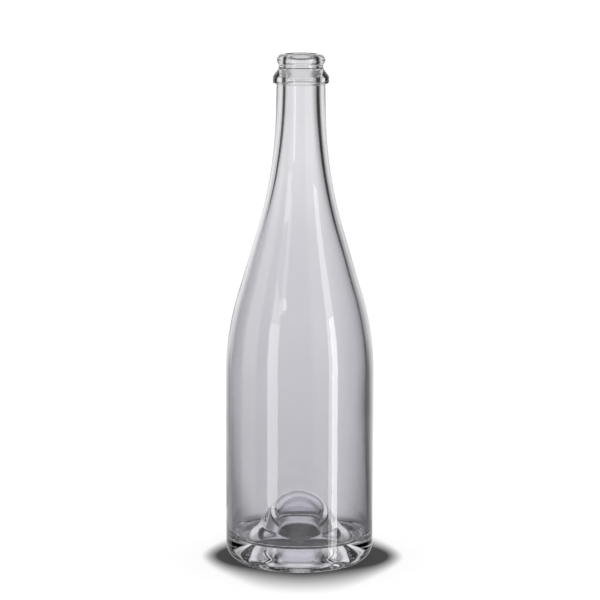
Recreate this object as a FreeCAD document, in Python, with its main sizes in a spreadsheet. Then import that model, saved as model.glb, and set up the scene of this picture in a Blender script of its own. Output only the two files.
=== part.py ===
import FreeCAD, Part
import math
import os
from functools import partial

import Sketcher

# A sparkling-wine bottle of clear glass, blown as one piece.
# Millimetres and degrees; +Z is the axis, and the foot stands on z = 0.
# Name, value and meaning of every size that can be set by itself.
SIZES = [
    ("bottle_height", 300.0, "foot to the crest of the lip"),
    ("body_diameter", 87.0, "outside of the straight wall"),
    ("heel_radius", 9.6, "outer round from wall to foot"),
    ("bearing_width", 4.0, "ring that the bottle stands on, before its inner edge is rounded"),
    ("bearing_round", 2.0, "round from that ring into the punt"),
    ("shoulder_radius", 163.0, "arc that leads the wall into the shoulder"),
    ("shoulder_slope", 16.8, "straight of the shoulder, degrees from the axis"),
    ("neck_sweep_radius", 258.0, "hollow arc that leads the shoulder into the neck"),
    ("neck_taper", 1.2, "side of the neck, degrees from the axis"),
    ("neck_straight", 16.8, "length of that side below the collar"),
    ("neck_wall", 5.05, "glass of the neck right below the collar"),
    ("collar_projection", 2.15, "how far the wire's collar stands out from the neck"),
    ("collar_root_radius", 0.8, "round between neck and collar"),
    ("collar_undercut", 8.0, "fall of the collar's underside towards the neck, degrees"),
    ("collar_edge_radius", 0.6, "lower edge of the collar"),
    ("collar_face", 2.4, "straight side of the collar"),
    ("collar_round", 3.0, "upper edge of the collar"),
    ("collar_ramp", 38.0, "upper slope of the collar, degrees from the axis"),
    ("groove_radius", 3.6, "hollow between collar and bead"),
    ("groove_depth", 1.2, "how far that hollow lies inside the bead"),
    ("bead_under_radius", 1.9, "lower round of the crown bead"),
    ("lip_wall", 5.0, "glass of the lip, from the bore to the bead at its widest"),
    ("crest_width", 0.4, "flat crest of the lip between its two rounds"),
    ("mouth_round", 0.8, "inner edge of the lip"),
    ("bore_diameter", 18.3, "bore that the stopper fills"),
    ("bore_sweep_radius", 300.0, "hollow arc that opens the bore into the shoulder"),
    ("wall", 3.6, "glass of wall and shoulder"),
    ("inner_heel_radius", 4.5, "round from the inside of the wall to the floor"),
    ("floor_thickness", 15.0, "glass under the lowest line of the floor"),
    ("punt_height", 34.8, "hollow of the foot, foot to crown"),
    ("punt_flank", 8.0, "side of the punt, degrees from the axis"),
    ("punt_flare_radius", 5.0, "arc from that side to the mouth of the punt"),
    ("punt_mouth_slope", 42.0, "mouth of the punt, degrees from the foot"),
    ("ring_width", 20.5, "floor round the dome, inside of the wall to the dome's radius"),
    ("dome_flank", 34.8, "side of that dome, degrees from the axis"),
    ("crown_thickness", 6.2, "glass over the punt"),
]

# Radii and heights that follow from those sizes, as formulas for the sheet.
BORE_RADIUS = "sizes.bore_diameter / 2"
BEAD_RADIUS = "sizes.bore_diameter / 2 + sizes.lip_wall"
BEAD_ROUND = "sizes.lip_wall - sizes.mouth_round - sizes.crest_width"
GROOVE_CENTRE = BEAD_RADIUS + " - sizes.groove_depth + sizes.groove_radius"
NECK_RADIUS = "sizes.bore_diameter / 2 + sizes.neck_wall"
COLLAR_RADIUS = NECK_RADIUS + " + sizes.collar_projection"
BODY_RADIUS = "sizes.body_diameter / 2"
INSIDE_RADIUS = "sizes.body_diameter / 2 - sizes.wall"
INSIDE_SHOULDER_RADIUS = "sizes.shoulder_radius - sizes.wall"
BEARING_INNER_RADIUS = "sizes.body_diameter / 2 - sizes.heel_radius - sizes.bearing_width"
DOME_RADIUS = INSIDE_RADIUS + " - sizes.ring_width"
PUNT_CROWN_RADIUS = DOME_RADIUS + " - sizes.crown_thickness"
CROWN_HEIGHT = "sizes.punt_height + sizes.crown_thickness"

OVERRUN = 2.0          # how far a cut starts outside the glass
ORIGIN = (-1, 1)       # the sketch's own origin
AXIS = -2              # the sketch's vertical axis
START, END, CENTRE = 1, 2, 3


def cosine(angle):
    return math.cos(math.radians(angle))


def sine(angle):
    return math.sin(math.radians(angle))


def tangent(angle):
    return math.tan(math.radians(angle))


def number(item, formula):
    """Value of a formula of the sheet's sizes."""
    value = item.evalExpression(formula)
    return float(getattr(value, "Value", value))


def heading_vector(heading):
    return FreeCAD.Vector(cosine(heading), sine(heading), 0)


class Section:
    """Half section of the bottle: one closed run of lines and arcs, drawn with a heading.

    Pieces join smoothly unless a corner stands between them. The drawing starts at its
    true size, and the dimensions then tie it to the sheet.
    """

    def __init__(self, body, name, place, heading):
        plane = next(item for item in body.Origin.OriginFeatures if item.Role == "XZ_Plane")
        self.sketch = body.newObject("Sketcher::SketchObject", name)
        self.sketch.AttachmentSupport = [(plane, "")]
        self.sketch.MapMode = "FlatFace"
        self.first = FreeCAD.Vector(place[0], place[1], 0)
        self.place = FreeCAD.Vector(self.first)
        self.heading = heading
        self.smooth = False
        self.pieces = []

    def join(self, shape, start, end):
        piece = self.sketch.addGeometry(shape, False)
        if self.pieces:
            kind = "Tangent" if self.smooth else "Coincident"
            last, last_end = self.pieces[-1][0], self.pieces[-1][2]
            self.sketch.addConstraint(Sketcher.Constraint(kind, last, last_end, piece, start))
        self.pieces.append((piece, start, end))
        self.smooth = True
        return piece

    def line(self, length):
        end = self.place + heading_vector(self.heading) * length
        shape = Part.LineSegment(self.place, end)
        self.place = end
        return self.join(shape, START, END)

    def bend(self, radius, turn):
        """Arc from the present heading; a turn over 0 is to the left."""
        side = math.copysign(90, turn)
        centre = self.place + heading_vector(self.heading + side) * radius
        circle = Part.Circle(centre, FreeCAD.Vector(0, 0, 1), radius)
        first, last = self.heading - side, self.heading - side + turn
        low, high = min(first, last), max(first, last)
        shape = Part.ArcOfCircle(circle, math.radians(low), math.radians(high))
        self.place = centre + heading_vector(last) * radius
        self.heading += turn
        return self.join(shape, START, END) if turn > 0 else self.join(shape, END, START)

    def line_and_bend(self, radius, turn, reach):
        """A line and the arc after it, which ends at a distance from the axis."""
        side = math.copysign(90, turn)
        across = cosine(self.heading + side) * radius + cosine(self.heading - side + turn) * radius
        length = (reach - self.place.x - across) / cosine(self.heading)
        return self.line(length), self.bend(radius, turn)

    def corner(self, turn):
        self.heading += turn
        self.smooth = False

    def close(self):
        """Line along the axis, back to the first point."""
        first, first_start = self.pieces[0][0], self.pieces[0][1]
        last, last_end = self.pieces[-1][0], self.pieces[-1][2]
        side = self.sketch.addGeometry(Part.LineSegment(self.place, self.first), False)
        self.sketch.addConstraint(Sketcher.Constraint("Coincident", last, last_end, side, START))
        self.sketch.addConstraint(Sketcher.Constraint("Coincident", side, END, first, first_start))
        self.sketch.addConstraint(Sketcher.Constraint("PointOnObject", side, START, AXIS))
        self.sketch.addConstraint(Sketcher.Constraint("PointOnObject", side, END, AXIS))

    def level(self, *pieces):
        for piece in pieces:
            self.sketch.addConstraint(Sketcher.Constraint("Horizontal", piece))

    def upright(self, *pieces):
        for piece in pieces:
            self.sketch.addConstraint(Sketcher.Constraint("Vertical", piece))

    def widest(self, arc, end):
        """The arc is upright at this end: its centre lies level with it."""
        self.sketch.addConstraint(Sketcher.Constraint("Horizontal", arc, CENTRE, arc, end))

    def level_end(self, arc, end):
        """The arc is level at this end: its centre lies right above or below it."""
        self.sketch.addConstraint(Sketcher.Constraint("Vertical", arc, CENTRE, arc, end))

    def tie(self, kind, where, formula):
        """A driving dimension that follows a formula of the sheet's sizes."""
        value = number(self.sketch, formula)
        if kind == "Angle":
            value = math.radians(value)
        index = self.sketch.addConstraint(Sketcher.Constraint(kind, *where, value))
        self.sketch.setExpression("Constraints[%d]" % index, formula)
        return index

    def radius(self, arc, formula):
        return self.tie("Radius", (arc,), formula)

    def length(self, line, formula):
        return self.tie("Distance", (line,), formula)

    def across(self, piece, end, formula):
        return self.tie("DistanceX", ORIGIN + (piece, end), formula)

    def above(self, piece, end, formula):
        return self.tie("DistanceY", ORIGIN + (piece, end), formula)

    def slope(self, line, formula):
        return self.tie("Angle", (line,), formula)

    def measure(self, name, piece, end):
        """A height that follows from the rest, named so that other sketches can use it."""
        height = self.sketch.getPoint(piece, end).y
        index = self.sketch.addConstraint(Sketcher.Constraint("DistanceY", *ORIGIN, piece, end, height))
        self.sketch.setDriving(index, False)
        self.sketch.renameConstraint(index, name)


def make_sheet(doc):
    sheet = doc.addObject("Spreadsheet::Sheet", "sizes")
    for row, (name, value, meaning) in enumerate(SIZES, start=1):
        sheet.set("A%d" % row, name)
        sheet.set("B%d" % row, str(value))
        sheet.setAlias("B%d" % row, name)
        sheet.set("C%d" % row, meaning)
    doc.recompute()
    return sheet


def draw_outside(body):
    """Outer form, from the crest of the lip down to the foot."""
    size = partial(number, body)
    bead_turn = math.degrees(math.acos(
        1 - size("sizes.groove_depth") / size("sizes.groove_radius + sizes.bead_under_radius")))
    collar_ramp = size("sizes.collar_ramp")
    collar_undercut = size("sizes.collar_undercut")
    neck_taper = size("sizes.neck_taper")
    shoulder_slope = size("sizes.shoulder_slope")

    out = Section(body, "Outside", (0, size("sizes.bottle_height")), heading=0)
    lip = out.line(size(BEAD_RADIUS) - size(BEAD_ROUND))
    bead = out.bend(size(BEAD_ROUND), -90)
    bead_under = out.bend(size("sizes.bead_under_radius"), -bead_turn)
    groove = out.bend(size("sizes.groove_radius"), bead_turn + collar_ramp)
    ramp, collar_top = out.line_and_bend(size("sizes.collar_round"), -collar_ramp, size(COLLAR_RADIUS))
    face = out.line(size("sizes.collar_face"))
    edge = out.bend(size("sizes.collar_edge_radius"), collar_undercut - 90)
    under, root = out.line_and_bend(
        size("sizes.collar_root_radius"), 90 - collar_undercut + neck_taper, size(NECK_RADIUS))
    neck = out.line(size("sizes.neck_straight"))
    sweep = out.bend(size("sizes.neck_sweep_radius"), shoulder_slope - neck_taper)
    slope, shoulder = out.line_and_bend(size("sizes.shoulder_radius"), -shoulder_slope, size(BODY_RADIUS))
    wall = out.line(out.place.y - size("sizes.heel_radius"))
    heel = out.bend(size("sizes.heel_radius"), -90)
    foot = out.line(out.place.x)
    out.close()

    out.level(lip, foot)
    out.upright(face, wall)
    out.widest(bead, START)
    out.above(lip, START, "sizes.bottle_height")
    out.radius(bead, BEAD_ROUND)
    out.across(bead, START, BEAD_RADIUS)
    out.radius(bead_under, "sizes.bead_under_radius")
    out.radius(groove, "sizes.groove_radius")
    out.across(groove, CENTRE, GROOVE_CENTRE)
    out.slope(ramp, "(sizes.collar_ramp - 90) * 1 deg")
    out.radius(collar_top, "sizes.collar_round")
    out.across(face, START, COLLAR_RADIUS)
    out.length(face, "sizes.collar_face")
    out.radius(edge, "sizes.collar_edge_radius")
    out.slope(under, "(sizes.collar_undercut - 180) * 1 deg")
    out.radius(root, "sizes.collar_root_radius")
    out.across(neck, START, NECK_RADIUS)
    out.slope(neck, "(sizes.neck_taper - 90) * 1 deg")
    out.length(neck, "sizes.neck_straight")
    out.radius(sweep, "sizes.neck_sweep_radius")
    out.slope(slope, "(sizes.shoulder_slope - 90) * 1 deg")
    out.radius(shoulder, "sizes.shoulder_radius")
    out.across(wall, START, BODY_RADIUS)
    out.radius(heel, "sizes.heel_radius")
    out.above(foot, START, "0")
    out.measure("shoulder_start", shoulder, CENTRE)
    return out.sketch


def draw_inside(body, outside):
    """The space for the drink, from above the mouth down to the floor over the punt."""
    size = partial(number, body)
    wall_radius = size(INSIDE_RADIUS)
    bore_radius = size(BORE_RADIUS)
    shoulder_radius = size(INSIDE_SHOULDER_RADIUS)
    shoulder_slope = size("sizes.shoulder_slope")
    bore_sweep_radius = size("sizes.bore_sweep_radius")
    inner_heel_radius = size("sizes.inner_heel_radius")
    floor_thickness = size("sizes.floor_thickness")
    crown_radius = size(DOME_RADIUS)
    flank_turn = 90 - size("sizes.dome_flank")
    shoulder_start = outside.getDatum("shoulder_start").Value
    top = size("sizes.bottle_height") + OVERRUN

    # The bore ends where the arc below it turns smoothly into the inside of the shoulder.
    bends_rise = (bore_sweep_radius + shoulder_radius) * sine(shoulder_slope)
    bends_reach = (bore_sweep_radius + shoulder_radius) * (1 - cosine(shoulder_slope))
    slope_rise = (wall_radius - bore_radius - bends_reach) / tangent(shoulder_slope)
    bore_end = shoulder_start + slope_rise + bends_rise

    # The round at the foot of the dome is as wide as the floor leaves room for.
    reach = wall_radius - inner_heel_radius - crown_radius * sine(flank_turn)
    rise = size(CROWN_HEIGHT) - crown_radius * (1 - cosine(flank_turn)) - floor_thickness
    flare_radius = (reach * sine(flank_turn) - rise * cosine(flank_turn)) / (1 - cosine(flank_turn))
    flank_length = (rise - flare_radius * (1 - cosine(flank_turn))) / sine(flank_turn)

    room = Section(body, "Inside", (0, top), heading=0)
    lid = room.line(bore_radius)
    room.corner(-90)
    bore = room.line(top - bore_end)
    sweep = room.bend(bore_sweep_radius, shoulder_slope)
    slope, shoulder = room.line_and_bend(shoulder_radius, -shoulder_slope, wall_radius)
    wall = room.line(room.place.y - floor_thickness - inner_heel_radius)
    heel = room.bend(inner_heel_radius, -90)
    room.bend(flare_radius, -flank_turn)
    flank = room.line(flank_length)
    crown = room.bend(crown_radius, flank_turn)
    room.close()

    room.level(lid)
    room.upright(bore, wall)
    room.level_end(heel, START)
    room.level_end(crown, END)
    room.above(lid, START, "sizes.bottle_height + %s" % OVERRUN)
    room.across(bore, START, BORE_RADIUS)
    room.radius(sweep, "sizes.bore_sweep_radius")
    room.slope(slope, "(sizes.shoulder_slope - 90) * 1 deg")
    room.radius(shoulder, INSIDE_SHOULDER_RADIUS)
    room.above(shoulder, CENTRE, "Outside.Constraints.shoulder_start")
    room.across(wall, START, INSIDE_RADIUS)
    room.radius(heel, "sizes.inner_heel_radius")
    room.above(heel, START, "sizes.floor_thickness")
    room.slope(flank, "(sizes.dome_flank + 90) * 1 deg")
    room.radius(crown, DOME_RADIUS)
    room.above(crown, END, CROWN_HEIGHT)
    return room.sketch


def draw_punt(body):
    """The hollow of the foot: its dome and side keep the glass over it even."""
    size = partial(number, body)
    mouth_radius = size(BEARING_INNER_RADIUS)
    mouth_slope = size("sizes.punt_mouth_slope")
    crown_radius = size(PUNT_CROWN_RADIUS)
    flank_turn = 90 - size("sizes.punt_flank")
    flare_radius = size("sizes.punt_flare_radius")
    flare_turn = flank_turn - mouth_slope

    # Mouth and side, both straight, would meet at this radius without the flare between them.
    dome_foot = size("sizes.punt_height") - crown_radius * (1 - cosine(flank_turn))
    side_top = dome_foot + crown_radius * sine(flank_turn) * tangent(flank_turn)
    meet = (side_top - mouth_radius * tangent(mouth_slope)) / (tangent(flank_turn) - tangent(mouth_slope))
    trim = flare_radius * tangent(flare_turn / 2)

    start = mouth_radius + OVERRUN / tangent(mouth_slope)
    punt = Section(body, "PuntSection", (0, -OVERRUN), heading=0)
    lid = punt.line(start)
    punt.corner(180 - mouth_slope)
    mouth = punt.line((start - meet) / cosine(mouth_slope) - trim)
    flare = punt.bend(flare_radius, -flare_turn)
    flank = punt.line((meet - crown_radius * sine(flank_turn)) / cosine(flank_turn) - trim)
    crown = punt.bend(crown_radius, flank_turn)
    punt.close()

    punt.level(lid)
    punt.level_end(crown, END)
    punt.tie("DistanceY", (lid, START) + ORIGIN, str(OVERRUN))
    punt.slope(mouth, "(180 - sizes.punt_mouth_slope) * 1 deg")
    punt.across(mouth, START, BEARING_INNER_RADIUS + " + %s / tan(sizes.punt_mouth_slope * 1 deg)" % OVERRUN)
    punt.radius(flare, "sizes.punt_flare_radius")
    punt.slope(flank, "(sizes.punt_flank + 90) * 1 deg")
    punt.radius(crown, PUNT_CROWN_RADIUS)
    punt.above(crown, END, "sizes.punt_height")
    return punt.sketch


def turn_round(body, kind, name, sketch):
    """A full turn of the section about the bottle's axis: Revolution adds, Groove cuts."""
    feature = body.newObject("PartDesign::" + kind, name)
    feature.Profile = sketch
    feature.ReferenceAxis = (sketch, ["V_Axis"])
    feature.Angle = 360
    body.Document.recompute()
    return feature


def round_edge(body, name, base, radius_formula, height_formula, fillet_formula):
    """Fillet on the edge that runs round the axis at this radius and height."""
    radius = number(body, radius_formula)
    height = number(body, height_formula)
    names = []
    for index, edge in enumerate(base.Shape.Edges, start=1):
        if edge.Degenerated or not isinstance(edge.Curve, Part.Circle):
            continue
        curve = edge.Curve
        if abs(curve.Radius - radius) < 0.001 and abs(curve.Center.z - height) < 0.001:
            names.append("Edge%d" % index)
    if len(names) != 1:
        raise ValueError("%s: %d edges found, not one" % (name, len(names)))
    fillet = body.newObject("PartDesign::Fillet", name)
    fillet.Base = (base, names)
    fillet.setExpression("Radius", fillet_formula)
    body.Document.recompute()
    return fillet


def check_sketches(*sketches):
    for sketch in sketches:
        if sketch.solve() != 0 or not sketch.FullyConstrained:
            raise ValueError("sketch %s isn't fully set by its sizes" % sketch.Name)


def check_cut(before, after):
    if after.Shape.Volume >= before.Shape.Volume - 1:
        raise ValueError("%s cuts nothing" % after.Name)


def check_document(doc):
    for item in doc.Objects:
        if "Invalid" in item.State or "Error" in item.State:
            raise ValueError("%s failed: %s" % (item.Name, item.State))


def make_bottle(doc):
    body = doc.addObject("PartDesign::Body", "Bottle")
    body.Label = "bottle"
    body.Placement = FreeCAD.Placement(FreeCAD.Vector(0, 0, 0), FreeCAD.Rotation())

    outside = draw_outside(body)
    doc.recompute()
    blank = turn_round(body, "Revolution", "Blank", outside)

    inside = draw_inside(body, outside)
    doc.recompute()
    hollow = turn_round(body, "Groove", "Hollow", inside)
    check_cut(blank, hollow)

    punt_section = draw_punt(body)
    doc.recompute()
    punt = turn_round(body, "Groove", "Punt", punt_section)
    check_cut(hollow, punt)
    check_sketches(outside, inside, punt_section)

    mouth = round_edge(body, "MouthRound", punt, BORE_RADIUS, "sizes.bottle_height", "sizes.mouth_round")
    round_edge(body, "BearingRound", mouth, BEARING_INNER_RADIUS, "0", "sizes.bearing_round")
    return body


def main():
    doc = FreeCAD.newDocument("SparklingWineBottle")
    make_sheet(doc)
    body = make_bottle(doc)
    doc.recompute()
    check_document(doc)
    shape = body.Shape
    if shape.isNull() or not shape.isValid() or len(shape.Solids) != 1:
        raise ValueError("the bottle isn't one valid solid")
    os.makedirs("parts", exist_ok=True)
    shape.exportStep("parts/%s.step" % body.Label)
    print("glass %.1f cm3" % (shape.Volume / 1000))


main()
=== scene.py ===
import math

import bmesh
import bpy
from mathutils import Matrix, Vector, noise


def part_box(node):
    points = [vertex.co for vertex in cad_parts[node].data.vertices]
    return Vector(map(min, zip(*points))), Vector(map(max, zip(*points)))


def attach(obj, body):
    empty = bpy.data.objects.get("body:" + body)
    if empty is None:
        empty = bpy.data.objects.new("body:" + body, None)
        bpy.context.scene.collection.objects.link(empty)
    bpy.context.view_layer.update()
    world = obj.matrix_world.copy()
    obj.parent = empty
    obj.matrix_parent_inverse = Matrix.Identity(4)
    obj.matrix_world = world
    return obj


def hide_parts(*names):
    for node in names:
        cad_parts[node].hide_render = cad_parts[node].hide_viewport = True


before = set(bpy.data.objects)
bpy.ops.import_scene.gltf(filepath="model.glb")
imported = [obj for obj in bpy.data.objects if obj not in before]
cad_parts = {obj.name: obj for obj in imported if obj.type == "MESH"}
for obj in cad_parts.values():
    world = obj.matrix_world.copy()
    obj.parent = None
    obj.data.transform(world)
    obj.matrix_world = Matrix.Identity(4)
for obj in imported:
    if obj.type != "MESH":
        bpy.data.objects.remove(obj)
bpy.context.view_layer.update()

NODE = "bottle"
LOW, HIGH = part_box(NODE)

# ---------------------------------------------------------------- sizes in metres, angles in degrees
MM = 0.001
HEIGHT = HIGH[2] - LOW[2]
BODY_RADIUS = (HIGH[0] - LOW[0]) / 2
HEEL_RADIUS = 9.6 * MM
BEARING_WIDTH = 4.0 * MM
BEARING_ROUND = 2.0 * MM
SHOULDER_RADIUS = 163.0 * MM
SHOULDER_SLOPE = 16.8
NECK_SWEEP_RADIUS = 258.0 * MM
NECK_TAPER = 1.2
NECK_STRAIGHT = 16.8 * MM
NECK_RADIUS = 14.2 * MM
COLLAR_RADIUS = NECK_RADIUS + 2.15 * MM
COLLAR_ROOT_RADIUS = 0.8 * MM
COLLAR_UNDERCUT = 8.0
COLLAR_EDGE_RADIUS = 0.6 * MM
COLLAR_FACE = 2.4 * MM
COLLAR_ROUND = 3.0 * MM
COLLAR_RAMP = 38.0
GROOVE_RADIUS = 3.6 * MM
GROOVE_DEPTH = 1.2 * MM
BEAD_UNDER_RADIUS = 1.9 * MM
BEAD_ROUND = 3.8 * MM
BEAD_RADIUS = 14.15 * MM
MOUTH_ROUND = 0.8 * MM
BORE_RADIUS = 9.15 * MM
BORE_SWEEP_RADIUS = 300.0 * MM
WALL = 3.6 * MM
INNER_HEEL_RADIUS = 4.5 * MM
FLOOR_THICKNESS = 15.0 * MM
PUNT_HEIGHT = 34.8 * MM
PUNT_FLANK = 8.0
PUNT_FLARE_RADIUS = 5.0 * MM
PUNT_MOUTH_SLOPE = 42.0
CROWN_THICKNESS = 6.2 * MM
DOME_RADIUS = BODY_RADIUS - WALL - 20.5 * MM
DOME_FLANK = 34.8

# The foot stands on short bars. Shares are of the half distance between two of them.
KNURL_BARS = 24
KNURL_DEPTH = 0.35 * MM
KNURL_GAP = 0.72
KNURL_EDGE = 0.2
FOOT_PLANE = 0.01 * MM    # points lower than this stand on the floor

# The blown inside leans to one side and waves a little, between the foot and the neck.
LEAN = 0.8 * MM
LEAN_BEARING = 180
WAVE = 0.22 * MM
WAVE_LENGTH = 45 * MM
WAVES_ROUND = 1.4
UNEVEN_START = 30 * MM
UNEVEN_RISE = 60 * MM
UNEVEN_END = 250 * MM
UNEVEN_FALL = 80 * MM

SEGMENTS = 240            # round the axis
LINE_STEP = 3.0 * MM      # longest edge along a straight
ARC_TURN = 6.0            # largest turn between two edges of an arc

# ---------------------------------------------------------------- glass finish
# Height as a share of the bottle, and the tint of one wall there, with painted shade that darkens it towards
# the foot.
TINT_AND_PAINTED_SHADE = [(0.00, (0.835, 0.83, 0.865)), (0.60, (0.85, 0.845, 0.875)), (0.85, (0.885, 0.88, 0.90))]
TINT_DRIFT = 0.10         # how far the tint wanders up and down the glass, as a share of the height
TINT_CLOUDS = 14          # clouds of tint per metre
CLOUD_RANGE = (0.3, 0.7)  # what most of a noise texture lies between
GLASS_IOR = 1.52
RIPPLE_SCALE = 55         # waves of the blown surface per metre
RIPPLE_DEPTH = 0.05 * MM
WORN_HEIGHT = 0.8 * MM    # the foot is worn dull up to here
WORN_ROUGHNESS = 0.15
WORN_SCALE = 400          # patches of wear per metre

# ---------------------------------------------------------------- studio
# What the glass shows round it, as (bearing, brightness): white, with the corners of the soft-edged
# cards, dark ones at both sides and a dim one in front. On the floor close by the cards only dim it.
FAR_CARDS = [(-166, 1.0), (-158, 0.1), (-146, 0.1), (-138, 0.9), (-122, 0.5), (-75, 0.4), (-62, 1.0),
             (-28, 1.0), (-15, 0.3), (0, 0.02), (44, 0.02), (56, 0.5), (80, 1.0),
             (108, 1.0), (134, 0.65), (138, 0.02), (161, 0.02), (174, 1.0)]
NEAR_CARDS = [(-60, 0.9), (-20, 0.6), (10, 0.3), (50, 0.2), (78, 1.0),
              (102, 1.0), (123, 0.36), (157, 0.42), (176, 0.9)]
NEAR_END = 0.5            # the floor is near up to here
FAR_START = 1.4
CARD_FADE = (6, 60)       # elevations between which the cards give way to the sky
# (distance from the axis, brightness) of the floor, with a painted shadow dark under the foot, and (elevation,
# brightness) of the sky.
FLOOR_BANDS = [(44 * MM, 0.09), (56 * MM, 0.6), (90 * MM, 0.74), (0.3, 0.74), (3.0, 1.0)]
# Below the horizon, where reflections find no floor, the sky darkens steeply as a painted shadow of the floor
# round the foot.
SKY_BANDS = [(-30, 0.08), (-16, 0.65), (4, 1.0), (19, 1.0), (27, 0.6), (48, 0.6), (66, 1.0)]

# What the camera sees of the floor: white, with an oval painted shadow.
FLOOR_GREY = 0.36
FLOOR_LIFT = 0.70
FLOOR_HALF = 30
FLOOR_DROP = 0.2 * MM
SHADOW_CENTRE = (1.9 * MM, 3.7 * MM)
SHADOW_HALF_WIDTH = 54.0 * MM
SHADOW_HALF_DEPTH = 50.0 * MM
SHADOW_POWERS = (1.6, 1.85)     # how square the oval is, across and along
SHADOW_SIDE_SHARPNESS = 4.2
SHADOW_SIDE_POWER = 4.0
SHADOW_START = -0.4             # places of the falloff, where 0 is on the oval
SHADOW_END = 1.7
SHADOW_DARKEST = 0.07
SHADOW_FALLOFF = 1.5

# Upright strip lamps: name, bearing, distance, width, low end, high end, radiance.
LAMPS = [
    ("strip_left_soft", -130, 0.3, 0.085, -0.025, 0.21, 3.4),
    ("strip_left", -130, 0.3, 0.05, -0.02, 0.20, 5.0),
    ("strip_right", -37.5, 0.3, 0.045, -0.08, 0.22, 7.0),
    ("strip_right_soft", -44, 0.3, 0.035, -0.08, 0.22, 3.5),
    ("panel_left", -131.5, 1.2, 0.26, 0.43, 0.625, 1.9),
    ("panel_left_soft", -131.5, 1.2, 0.34, 0.425, 0.64, 1.3),
    ("panel_left_high", -122, 1.2, 0.2, 0.52, 0.8, 1.3),
    ("neck_left", -117, 0.3, 0.04, 0.25, 0.275, 3.0),
    ("panel_right", -37, 1.2, 0.3, 0.46, 1.2, 3.2),
]

CAMERA_PLACE = (-0.0001, -1.492, 0.4053)
CAMERA_TILT = 9.5         # looks down
CAMERA_ROLL = 0.21
CAMERA_LENS = 154.5
CAMERA_REACH = 200
BOUNCES = 24              # of light through the glass
GLOSSY_BOUNCES = 12


# ---------------------------------------------------------------- the glass: outline
def cosine(angle):
    return math.cos(math.radians(angle))


def sine(angle):
    return math.sin(math.radians(angle))


def toward(heading):
    return Vector((cosine(heading), sine(heading)))


def clamp(value):
    return min(max(value, 0), 1)


class Outline:
    """Points of a half section (radius, height), walked as straights and smooth arcs."""

    def __init__(self, place, heading):
        self.place = Vector(place)
        self.heading = heading
        self.points = [self.place.copy()]

    def line(self, length):
        steps = max(1, math.ceil(length / LINE_STEP))
        start = self.place.copy()
        for step in range(1, steps + 1):
            self.points.append(start + toward(self.heading) * (length * step / steps))
        self.place = self.points[-1].copy()

    def bend(self, radius, turn):
        side = math.copysign(90, turn)
        centre = self.place + toward(self.heading + side) * radius
        first = self.heading - side
        by_turn = math.ceil(abs(turn) / ARC_TURN)
        by_length = math.ceil(math.radians(abs(turn)) * radius / LINE_STEP)
        steps = max(2, by_turn, by_length)
        for step in range(1, steps + 1):
            self.points.append(centre + toward(first + turn * step / steps) * radius)
        self.place = self.points[-1].copy()
        self.heading += turn

    def line_and_bend(self, radius, turn, reach):
        """A line and the arc after it, which ends at a distance from the axis."""
        side = math.copysign(90, turn)
        across = (cosine(self.heading + side) + cosine(self.heading - side + turn)) * radius
        self.line((reach - self.place.x - across) / cosine(self.heading))
        self.bend(radius, turn)


def outside_outline():
    """From the crest of the lip down to the bearing ring, in at the punt and up to its crown."""
    bead_turn = math.degrees(math.acos(1 - GROOVE_DEPTH / (GROOVE_RADIUS + BEAD_UNDER_RADIUS)))
    crest = BEAD_RADIUS - BEAD_ROUND
    out = Outline((BORE_RADIUS + MOUTH_ROUND, HEIGHT), heading=0)
    out.line(crest - BORE_RADIUS - MOUTH_ROUND)
    out.bend(BEAD_ROUND, -90)
    out.bend(BEAD_UNDER_RADIUS, -bead_turn)
    out.bend(GROOVE_RADIUS, bead_turn + COLLAR_RAMP)
    out.line_and_bend(COLLAR_ROUND, -COLLAR_RAMP, COLLAR_RADIUS)
    out.line(COLLAR_FACE)
    out.bend(COLLAR_EDGE_RADIUS, COLLAR_UNDERCUT - 90)
    out.line_and_bend(COLLAR_ROOT_RADIUS, 90 - COLLAR_UNDERCUT + NECK_TAPER, NECK_RADIUS)
    out.line(NECK_STRAIGHT)
    out.bend(NECK_SWEEP_RADIUS, SHOULDER_SLOPE - NECK_TAPER)
    out.line_and_bend(SHOULDER_RADIUS, -SHOULDER_SLOPE, BODY_RADIUS)
    shoulder_start = out.place.y
    out.line(out.place.y - HEEL_RADIUS)
    out.bend(HEEL_RADIUS, -90)
    round_trim = BEARING_ROUND * math.tan(math.radians(PUNT_MOUTH_SLOPE / 2))
    out.line(BEARING_WIDTH - round_trim)
    out.bend(BEARING_ROUND, -PUNT_MOUTH_SLOPE)
    bearing_end = out.place.copy()

    # The mouth's cone and the steep flank of the punt meet here, before the flare rounds them off.
    crown_radius = DOME_RADIUS - CROWN_THICKNESS
    flank_turn = 90 - PUNT_FLANK
    flare_turn = flank_turn - PUNT_MOUTH_SLOPE
    flank_top = Vector((crown_radius * sine(flank_turn),
                        PUNT_HEIGHT - crown_radius * (1 - cosine(flank_turn))))
    flank_grade = math.tan(math.radians(flank_turn))
    mouth_grade = math.tan(math.radians(PUNT_MOUTH_SLOPE))
    flank_rise = flank_top.y + flank_top.x * flank_grade
    mouth_rise = bearing_end.y + bearing_end.x * mouth_grade
    meet = (flank_rise - mouth_rise) / (flank_grade - mouth_grade)
    trim = PUNT_FLARE_RADIUS * math.tan(math.radians(flare_turn / 2))
    out.line((bearing_end.x - meet) / cosine(PUNT_MOUTH_SLOPE) - trim)
    out.bend(PUNT_FLARE_RADIUS, -flare_turn)
    out.line((meet - flank_top.x) / cosine(flank_turn) - trim)
    out.bend(crown_radius, flank_turn)
    return out.points, shoulder_start


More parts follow.
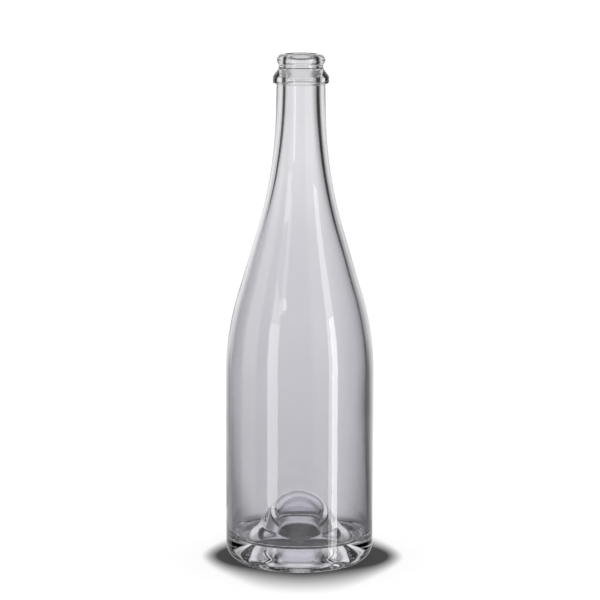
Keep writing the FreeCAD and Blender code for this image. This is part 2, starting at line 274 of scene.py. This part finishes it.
def inside_outline(shoulder_start):
    """From the crown of the punt, over the floor and up the wall and bore to the lip."""
    wall_radius = BODY_RADIUS - WALL
    shoulder_radius = SHOULDER_RADIUS - WALL
    flank_turn = 90 - DOME_FLANK
    crown_height = PUNT_HEIGHT + CROWN_THICKNESS
    valley = wall_radius - INNER_HEEL_RADIUS
    bend_rise = (BORE_SWEEP_RADIUS + shoulder_radius) * sine(SHOULDER_SLOPE)
    bend_reach = (BORE_SWEEP_RADIUS + shoulder_radius) * (1 - cosine(SHOULDER_SLOPE))
    slope_rise = (wall_radius - BORE_RADIUS - bend_reach) / math.tan(math.radians(SHOULDER_SLOPE))
    reach = valley - DOME_RADIUS * sine(flank_turn)
    rise = crown_height - DOME_RADIUS * (1 - cosine(flank_turn)) - FLOOR_THICKNESS
    flare_radius = (reach * sine(flank_turn) - rise * cosine(flank_turn)) / (1 - cosine(flank_turn))
    flank_length = (rise - flare_radius * (1 - cosine(flank_turn))) / sine(flank_turn)

    room = Outline((BORE_RADIUS, HEIGHT - MOUTH_ROUND), heading=-90)
    room.line(HEIGHT - MOUTH_ROUND - shoulder_start - bend_rise - slope_rise)
    room.bend(BORE_SWEEP_RADIUS, SHOULDER_SLOPE)
    room.line_and_bend(shoulder_radius, -SHOULDER_SLOPE, wall_radius)
    room.line(room.place.y - FLOOR_THICKNESS - INNER_HEEL_RADIUS)
    room.bend(INNER_HEEL_RADIUS, -90)
    room.bend(flare_radius, -flank_turn)
    room.line(flank_length)
    room.bend(DOME_RADIUS, flank_turn)
    return room.points[::-1]


def lip_outline():
    """The rounded inner edge of the mouth, from the bore to the crest."""
    lip = Outline((BORE_RADIUS, HEIGHT - MOUTH_ROUND), heading=90)
    lip.bend(MOUTH_ROUND, -90)
    return lip.points


# ---------------------------------------------------------------- the glass: mesh
def uneven_inside(place, angle):
    """The blown inside isn't quite round or even: how far the wall moves outwards here."""
    share = clamp((place.y - UNEVEN_START) / UNEVEN_RISE) * clamp((UNEVEN_END - place.y) / UNEVEN_FALL)
    lean = LEAN * cosine(angle - LEAN_BEARING) * share
    spot = Vector((WAVES_ROUND * cosine(angle), WAVES_ROUND * sine(angle), place.y / WAVE_LENGTH))
    return lean + WAVE * noise.noise(spot) * share


def knurl(place, angle):
    """How far the bearing ring is raised here, between two of the bars that the foot stands on."""
    if place.y > FOOT_PLANE:
        return 0
    turn = abs(angle * KNURL_BARS / 360 % 1 - 0.5) * 2
    return KNURL_DEPTH * clamp((KNURL_GAP - turn) / KNURL_EDGE)


def lathe(name, points, inner_from):
    """Turns the outline into a closed mesh, whose first and last points are on the axis."""
    mesh = bpy.data.meshes.new(name)
    shape = bmesh.new()
    rings = []
    for index, point in enumerate(points):
        if index in (0, len(points) - 1):
            rings.append([shape.verts.new((0, 0, point.y))])
            continue
        ring = []
        for segment in range(SEGMENTS):
            angle = 360 * segment / SEGMENTS
            radius = point.x
            if index >= inner_from:
                radius += uneven_inside(point, angle)
            height = point.y + knurl(point, angle)
            ring.append(shape.verts.new((radius * cosine(angle), radius * sine(angle), height)))
        rings.append(ring)
    for lower, upper in zip(rings, rings[1:]):
        for segment in range(SEGMENTS):
            after = (segment + 1) % SEGMENTS
            if len(lower) == 1:
                corners = [lower[0], upper[after], upper[segment]]
            elif len(upper) == 1:
                corners = [lower[segment], lower[after], upper[0]]
            else:
                corners = [lower[segment], lower[after], upper[after], upper[segment]]
            shape.faces.new(corners)
    bmesh.ops.recalc_face_normals(shape, faces=shape.faces)
    for face in shape.faces:
        face.smooth = True
    shape.to_mesh(mesh)
    shape.free()
    piece = bpy.data.objects.new(name, mesh)
    bpy.context.scene.collection.objects.link(piece)
    return piece


def make_bottle():
    outside, shoulder_start = outside_outline()
    lip = lip_outline()
    inside = inside_outline(shoulder_start)
    # crown under the punt -> foot -> outside -> lip -> bore -> floor -> crown over the punt
    points = outside[::-1] + lip[::-1][1:] + inside[::-1][1:]
    inner_from = len(outside) + len(lip)
    piece = lathe("bottle_glass", points, inner_from)
    piece.data.materials.append(glass_material())
    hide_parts(NODE)
    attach(piece, "root")


# ---------------------------------------------------------------- material nodes
def add(tree, kind, **settings):
    node = tree.nodes.new(kind)
    for key, value in settings.items():
        setattr(node, key, value)
    return node


def feed(tree, socket, value):
    """Links an output to a socket, or sets the socket to a plain value."""
    if isinstance(value, bpy.types.NodeSocket):
        tree.links.new(value, socket)
    else:
        socket.default_value = value


def math_node(tree, operation, first, second=0.0):
    node = add(tree, "ShaderNodeMath", operation=operation)
    feed(tree, node.inputs[0], first)
    feed(tree, node.inputs[1], second)
    return node.outputs[0]


def map_range(tree, value, low, high, to_low=0.0, to_high=1.0):
    node = add(tree, "ShaderNodeMapRange", clamp=True)
    for name, setting in (("Value", value), ("From Min", low), ("From Max", high),
                          ("To Min", to_low), ("To Max", to_high)):
        feed(tree, node.inputs[name], setting)
    return node.outputs[0]


def split_axes(tree, vector):
    node = add(tree, "ShaderNodeSeparateXYZ")
    feed(tree, node.inputs[0], vector)
    return node.outputs


def noise_cloud(tree, place, scale, detail=2):
    node = add(tree, "ShaderNodeTexNoise")
    node.inputs["Scale"].default_value = scale
    node.inputs["Detail"].default_value = detail
    feed(tree, node.inputs["Vector"], place)
    return node.outputs["Fac"]


def ramp(tree, share, stops, interpolation="LINEAR"):
    """Colour ramp over (place, colour) stops."""
    node = add(tree, "ShaderNodeValToRGB")
    node.color_ramp.interpolation = interpolation
    elements = node.color_ramp.elements
    elements.remove(elements[1])
    for index, (place, colour) in enumerate(stops):
        element = elements[0] if index == 0 else elements.new(place)
        element.position = place
        element.color = (*colour, 1)
    feed(tree, node.inputs["Fac"], share)
    return node.outputs["Color"]


def grey_ramp(tree, value, bands, interpolation="LINEAR"):
    """Brightness over (place, brightness) bands, in the value's own unit."""
    first, last = bands[0][0], bands[-1][0]
    share = map_range(tree, value, first, last)
    stops = [((place - first) / (last - first), (level, level, level)) for place, level in bands]
    return ramp(tree, share, stops, interpolation)


def mix_colours(tree, first, second, share, blend="MIX"):
    node = add(tree, "ShaderNodeMix", data_type="RGBA", blend_type=blend)
    feed(tree, node.inputs["Factor"], share)
    feed(tree, node.inputs[6], first)
    feed(tree, node.inputs[7], second)
    return node.outputs[2]


def mix_shaders(tree, first, second, share):
    node = add(tree, "ShaderNodeMixShader")
    feed(tree, node.inputs["Fac"], share)
    feed(tree, node.inputs[1], first)
    feed(tree, node.inputs[2], second)
    return node.outputs[0]


def in_glass(tree, path):
    """1 for what the glass reflects or lets through, and 0 for what is seen beside it."""
    return math_node(tree, "MAXIMUM", path.outputs["Is Glossy Ray"], path.outputs["Is Transmission Ray"])


# ---------------------------------------------------------------- materials
def glass_material():
    material = bpy.data.materials.new("glass")
    material.use_nodes = True
    tree = material.node_tree
    surface = tree.nodes["Principled BSDF"]
    surface.inputs["IOR"].default_value = GLASS_IOR
    surface.inputs["Transmission Weight"].default_value = 1.0
    place = add(tree, "ShaderNodeTexCoord").outputs["Object"]
    height = split_axes(tree, place)["Z"]
    # Base colour: the glass's own tint with painted shade in it, darker towards the foot, and random clouds of
    # tone.
    drift = map_range(tree, noise_cloud(tree, place, TINT_CLOUDS), *CLOUD_RANGE, -TINT_DRIFT, TINT_DRIFT)
    share = map_range(tree, height, 0, HEIGHT)
    feed(tree, surface.inputs["Base Color"], ramp(tree, math_node(tree, "ADD", share, drift), TINT_AND_PAINTED_SHADE))

    # The foot is dulled by wear, in patches.
    wear = map_range(tree, height, 0, WORN_HEIGHT, WORN_ROUGHNESS, 0)
    scuff = noise_cloud(tree, place, WORN_SCALE)
    feed(tree, surface.inputs["Roughness"], math_node(tree, "MULTIPLY", wear, scuff))

    # The surface of blown glass has slow shallow waves.
    ripple = add(tree, "ShaderNodeBump")
    ripple.inputs["Distance"].default_value = RIPPLE_DEPTH
    feed(tree, ripple.inputs["Height"], noise_cloud(tree, place, RIPPLE_SCALE, detail=1))
    feed(tree, surface.inputs["Normal"], ripple.outputs["Normal"])
    return material


def side_cards(tree, direction, cards):
    """Brightness by bearing."""
    axes = split_axes(tree, direction)
    bearing = math_node(tree, "DEGREES", math_node(tree, "ARCTAN2", axes["Y"], axes["X"]))
    return grey_ramp(tree, bearing, cards, "EASE")


def off_centre(tree, place, centre, half):
    """Distance from a centre line, as a share of half the shadow's size."""
    distance = math_node(tree, "ABSOLUTE", math_node(tree, "SUBTRACT", place, centre))
    return math_node(tree, "DIVIDE", distance, half)


def floor_shadow(tree, place):
    """The painted shadow round the foot: an oval that ends sharply at its sides and softly in front."""
    axes = split_axes(tree, place)
    across = off_centre(tree, axes["X"], SHADOW_CENTRE[0], SHADOW_HALF_WIDTH)
    along = off_centre(tree, axes["Y"], SHADOW_CENTRE[1], SHADOW_HALF_DEPTH)
    oval = math_node(tree, "ADD", math_node(tree, "POWER", across, SHADOW_POWERS[0]),
                     math_node(tree, "POWER", along, SHADOW_POWERS[1]))
    sharp = math_node(tree, "POWER", across, SHADOW_SIDE_POWER)
    sharp = math_node(tree, "MULTIPLY", sharp, SHADOW_SIDE_SHARPNESS)
    beyond = math_node(tree, "SUBTRACT", oval, 1.0)
    reach = math_node(tree, "MULTIPLY", beyond, math_node(tree, "ADD", sharp, 1.0))
    depth = math_node(tree, "POWER", map_range(tree, reach, SHADOW_START, SHADOW_END, 1, 0), SHADOW_FALLOFF)
    return math_node(tree, "SUBTRACT", 1.0, math_node(tree, "MULTIPLY", depth, 1 - SHADOW_DARKEST))


def floor_distance(tree, place):
    flat = add(tree, "ShaderNodeVectorMath", operation="MULTIPLY")
    feed(tree, flat.inputs[0], place)
    flat.inputs[1].default_value = (1, 1, 0)
    length = add(tree, "ShaderNodeVectorMath", operation="LENGTH")
    feed(tree, length.inputs[0], flat.outputs[0])
    return length.outputs["Value"]


def floor_in_glass(tree, place):
    """What the glass shows of the floor: dark under the foot with a painted shadow, and lighter further off,
    with the cards.
    """
    distance = floor_distance(tree, place)
    near = side_cards(tree, place, NEAR_CARDS)
    far = side_cards(tree, place, FAR_CARDS)
    sides = mix_colours(tree, near, far, map_range(tree, distance, NEAR_END, FAR_START))
    bands = [(math.log10(radius), level) for radius, level in FLOOR_BANDS]
    level = grey_ramp(tree, math_node(tree, "LOGARITHM", distance, 10.0), bands)
    return mix_colours(tree, sides, level, 1.0, "MULTIPLY")


def floor_material():
    material = bpy.data.materials.new("floor")
    material.use_nodes = True
    tree = material.node_tree
    path = add(tree, "ShaderNodeLightPath")
    place = add(tree, "ShaderNodeNewGeometry").outputs["Position"]
    shade = floor_shadow(tree, place)
    lit = tree.nodes["Principled BSDF"]
    lit.inputs["Roughness"].default_value = 1.0
    lit.inputs["Specular IOR Level"].default_value = 0.0
    grey = (FLOOR_GREY, FLOOR_GREY, FLOOR_GREY, 1)
    feed(tree, lit.inputs["Base Color"], mix_colours(tree, grey, shade, 1.0, "MULTIPLY"))
    lift = add(tree, "ShaderNodeEmission")
    feed(tree, lift.inputs["Color"], shade)
    feed(tree, lift.inputs["Strength"], math_node(tree, "MULTIPLY", path.outputs["Is Camera Ray"], FLOOR_LIFT))
    seen = add(tree, "ShaderNodeAddShader")
    feed(tree, seen.inputs[0], lit.outputs[0])
    feed(tree, seen.inputs[1], lift.outputs[0])
    behind = add(tree, "ShaderNodeEmission")
    feed(tree, behind.inputs["Color"], floor_in_glass(tree, place))
    both = mix_shaders(tree, seen.outputs[0], behind.outputs[0], in_glass(tree, path))
    feed(tree, tree.nodes["Material Output"].inputs["Surface"], both)
    return material


# ---------------------------------------------------------------- studio
def make_world():
    """White beside the bottle. The glass shows the cards, which are low, and the bands of the sky."""
    world = bpy.data.worlds.new("studio")
    bpy.context.scene.world = world
    world.use_nodes = True
    tree = world.node_tree
    tree.nodes.clear()
    direction = add(tree, "ShaderNodeTexCoord").outputs["Generated"]
    path = add(tree, "ShaderNodeLightPath")
    rise = math_node(tree, "DEGREES", math_node(tree, "ARCSINE", split_axes(tree, direction)["Z"]))
    cards = side_cards(tree, direction, FAR_CARDS)
    sides = mix_colours(tree, cards, (1, 1, 1, 1), map_range(tree, rise, *CARD_FADE))
    bands = grey_ramp(tree, rise, SKY_BANDS)
    studio = add(tree, "ShaderNodeBackground")
    feed(tree, studio.inputs["Color"], mix_colours(tree, sides, bands, 1.0, "MULTIPLY"))
    white = add(tree, "ShaderNodeBackground")
    white.inputs["Color"].default_value = (1, 1, 1, 1)
    output = add(tree, "ShaderNodeOutputWorld")
    both = mix_shaders(tree, white.outputs[0], studio.outputs[0], in_glass(tree, path))
    feed(tree, output.inputs["Surface"], both)


def make_strip(name, bearing, distance, width, low, high, radiance):
    """Upright strip lamp that faces the bottle; only its reflection counts."""
    light = bpy.data.lights.new(name, "AREA")
    light.shape = "RECTANGLE"
    light.size = width
    light.size_y = high - low
    light.energy = radiance * math.pi * light.size * light.size_y
    lamp = bpy.data.objects.new(name, light)
    bpy.context.scene.collection.objects.link(lamp)
    lamp.location = (distance * cosine(bearing), distance * sine(bearing), (low + high) / 2)
    facing = Vector((-cosine(bearing), -sine(bearing), 0))
    lamp.rotation_euler = facing.to_track_quat("-Z", "Y").to_euler()
    lamp.visible_camera = False
    lamp.visible_diffuse = False
    lamp.visible_transmission = False


def make_floor():
    mesh = bpy.data.meshes.new("floor")
    corners = [(x * FLOOR_HALF, y * FLOOR_HALF, 0) for x, y in ((-1, -1), (1, -1), (1, 1), (-1, 1))]
    mesh.from_pydata(corners, [], [(0, 1, 2, 3)])
    floor = bpy.data.objects.new("floor", mesh)
    bpy.context.scene.collection.objects.link(floor)
    floor.location.z = -FLOOR_DROP
    mesh.materials.append(floor_material())
    floor.visible_glossy = False


def make_camera():
    lens = bpy.data.cameras.new("camera")
    lens.lens = CAMERA_LENS
    lens.clip_end = CAMERA_REACH
    camera = bpy.data.objects.new("camera", lens)
    bpy.context.scene.collection.objects.link(camera)
    camera.location = CAMERA_PLACE
    look = Matrix.Rotation(math.radians(90 - CAMERA_TILT), 4, "X")
    roll = Matrix.Rotation(math.radians(CAMERA_ROLL), 4, "Z")
    camera.rotation_euler = (look @ roll).to_euler()
    bpy.context.scene.camera = camera


def main():
    make_bottle()
    make_floor()
    make_world()
    for lamp in LAMPS:
        make_strip(*lamp)
    make_camera()
    scene = bpy.context.scene
    scene.view_settings.view_transform = "Standard"
    scene.cycles.max_bounces = BOUNCES
    scene.cycles.transmission_bounces = BOUNCES
    scene.cycles.glossy_bounces = GLOSSY_BOUNCES
    scene.cycles.caustics_refractive = False
    scene.cycles.caustics_reflective = False


main()
